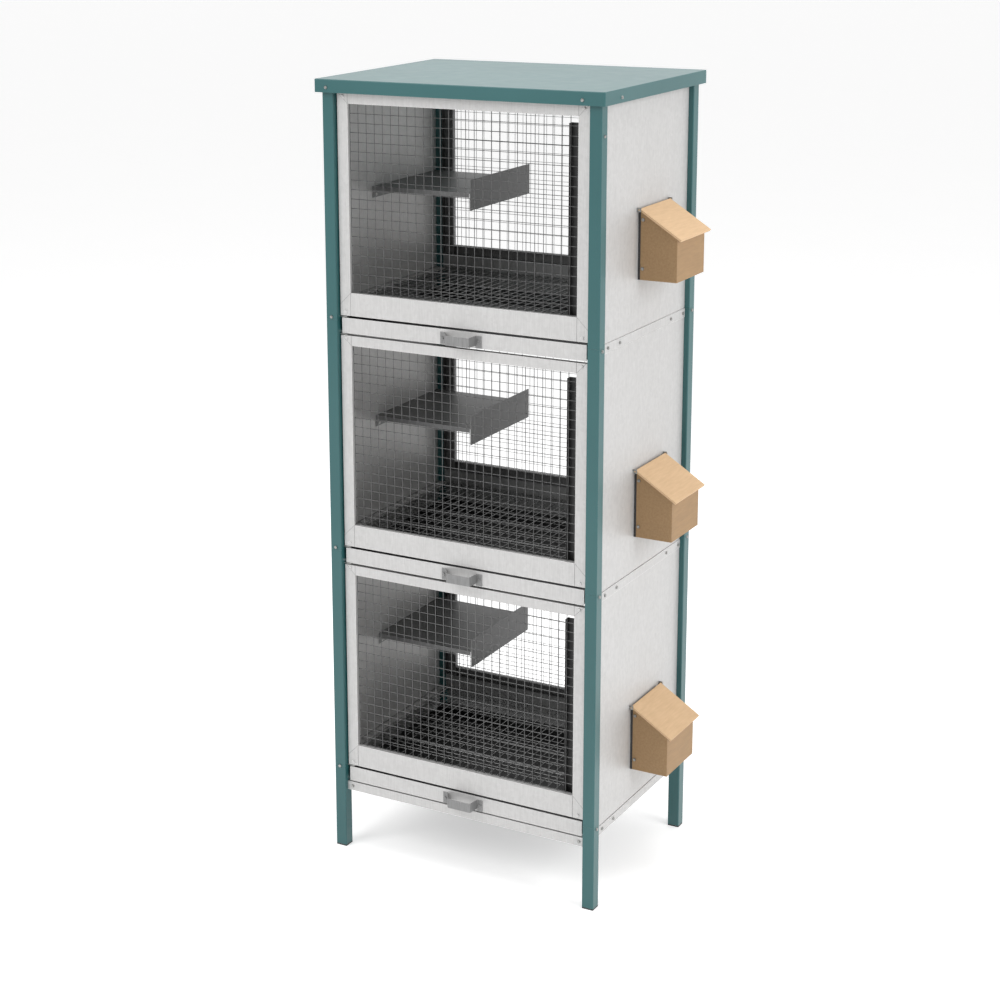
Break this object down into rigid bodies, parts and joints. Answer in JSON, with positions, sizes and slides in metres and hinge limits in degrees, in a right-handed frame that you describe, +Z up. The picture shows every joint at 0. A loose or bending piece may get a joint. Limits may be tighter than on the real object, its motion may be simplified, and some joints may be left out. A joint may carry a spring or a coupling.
{
  "type": "pigeon cage",
  "caption": "Tall free-standing pigeon cage in stacked tiers, with mesh doors, pull-out droppings trays, perches and feeder boxes on its side.",
  "frame": {"origin": "middle of the underside of the bounding box, on the ground between the four feet", "axes": "+Z up; the doors and trays face -Y; the feeder boxes stand out on the +X side"},
  "size_m": [0.6942, 0.479, 1.618],
  "materials": {
    "teal_paint": "semi-gloss",
    "galvanised_steel": "satin",
    "zinc_wire": "satin",
    "zinc_steel": "satin",
    "black_plastic": "matte",
    "dark_rubber": "matte",
    "tan_board": "matte",
    "tan_board_light": "matte"
  },
  "bodies": {
    "frame": {"post_front_left": "teal_paint", "post_front_right": "teal_paint", "post_rear_left": "teal_paint", "post_rear_right": "teal_paint", "post_couplers": "galvanised_steel", "foot_caps": "black_plastic", "roof": "teal_paint", "base_rail_front": "galvanised_steel", "side_rails": "galvanised_steel", "tray_runners": "galvanised_steel", "door_pivots": "zinc_steel", "lid_lugs": "zinc_steel", "frame_screws": "zinc_steel", "side_panel_left_bottom": "galvanised_steel", "side_panel_right_bottom": "galvanised_steel", "rear_frame_bottom": "galvanised_steel", "rear_mesh_bottom": "zinc_wire", "rear_board_bottom": "galvanised_steel", "door_stop_bottom": "galvanised_steel", "wire_floor_bottom": "zinc_wire", "perch_bottom": "galvanised_steel", "feeder_box_bottom": "tan_board", "feeder_gasket_bottom": "dark_rubber", "side_panel_left_middle": "galvanised_steel", "side_panel_right_middle": "galvanised_steel", "rear_frame_middle": "galvanised_steel", "rear_mesh_middle": "zinc_wire", "rear_board_middle": "galvanised_steel", "door_stop_middle": "galvanised_steel", "wire_floor_middle": "zinc_wire", "perch_middle": "galvanised_steel", "feeder_box_middle": "tan_board", "feeder_gasket_middle": "dark_rubber", "side_panel_left_top": "galvanised_steel", "side_panel_right_top": "galvanised_steel", "rear_frame_top": "galvanised_steel", "rear_mesh_top": "zinc_wire", "rear_board_top": "galvanised_steel", "door_stop_top": "galvanised_steel", "wire_floor_top": "zinc_wire", "perch_top": "galvanised_steel", "feeder_box_top": "tan_board", "feeder_gasket_top": "dark_rubber"},
    "door_bottom": {"door_frame_bottom": "galvanised_steel", "door_mesh_bottom": "zinc_wire"},
    "tray_bottom": {"tray_bottom": "galvanised_steel", "tray_pull_bottom": "galvanised_steel"},
    "feeder_lid_bottom": {"feeder_lid_bottom": "tan_board_light"},
    "door_middle": {"door_frame_middle": "galvanised_steel", "door_mesh_middle": "zinc_wire"},
    "tray_middle": {"tray_middle": "galvanised_steel", "tray_pull_middle": "galvanised_steel"},
    "feeder_lid_middle": {"feeder_lid_middle": "tan_board_light"},
    "door_top": {"door_frame_top": "galvanised_steel", "door_mesh_top": "zinc_wire"},
    "tray_top": {"tray_top": "galvanised_steel", "tray_pull_top": "galvanised_steel"},
    "feeder_lid_top": {"feeder_lid_top": "tan_board_light"}
  },
  "joints": [
    {"name": "door_hinge_bottom", "type": "hinge", "parent": "frame", "child": "door_bottom", "pos_m": [-0.30003, -0.2055, 0.185], "axis": [0, 0, -1], "range_deg": [0, 95]},
    {"name": "tray_slide_bottom", "type": "slide", "parent": "frame", "child": "tray_bottom", "axis": [0, -1, 0], "range_m": [0, 0.38]},
    {"name": "lid_hinge_bottom", "type": "hinge", "parent": "frame", "child": "feeder_lid_bottom", "pos_m": [0.25897, 0.0365, 0.36272], "axis": [0, -1, 0], "range_deg": [0, 115]},
    {"name": "door_hinge_middle", "type": "hinge", "parent": "frame", "child": "door_middle", "pos_m": [-0.30003, -0.2055, 0.667], "axis": [0, 0, -1], "range_deg": [0, 95]},
    {"name": "tray_slide_middle", "type": "slide", "parent": "frame", "child": "tray_middle", "axis": [0, -1, 0], "range_m": [0, 0.38]},
    {"name": "lid_hinge_middle", "type": "hinge", "parent": "frame", "child": "feeder_lid_middle", "pos_m": [0.25897, 0.0365, 0.85772], "axis": [0, -1, 0], "range_deg": [0, 115]},
    {"name": "door_hinge_top", "type": "hinge", "parent": "frame", "child": "door_top", "pos_m": [-0.30003, -0.2055, 1.149], "axis": [0, 0, -1], "range_deg": [0, 95]},
    {"name": "tray_slide_top", "type": "slide", "parent": "frame", "child": "tray_top", "axis": [0, -1, 0], "range_m": [0, 0.38]},
    {"name": "lid_hinge_top", "type": "hinge", "parent": "frame", "child": "feeder_lid_top", "pos_m": [0.25897, 0.0365, 1.37572], "axis": [0, -1, 0], "range_deg": [0, 115]}
  ]
}
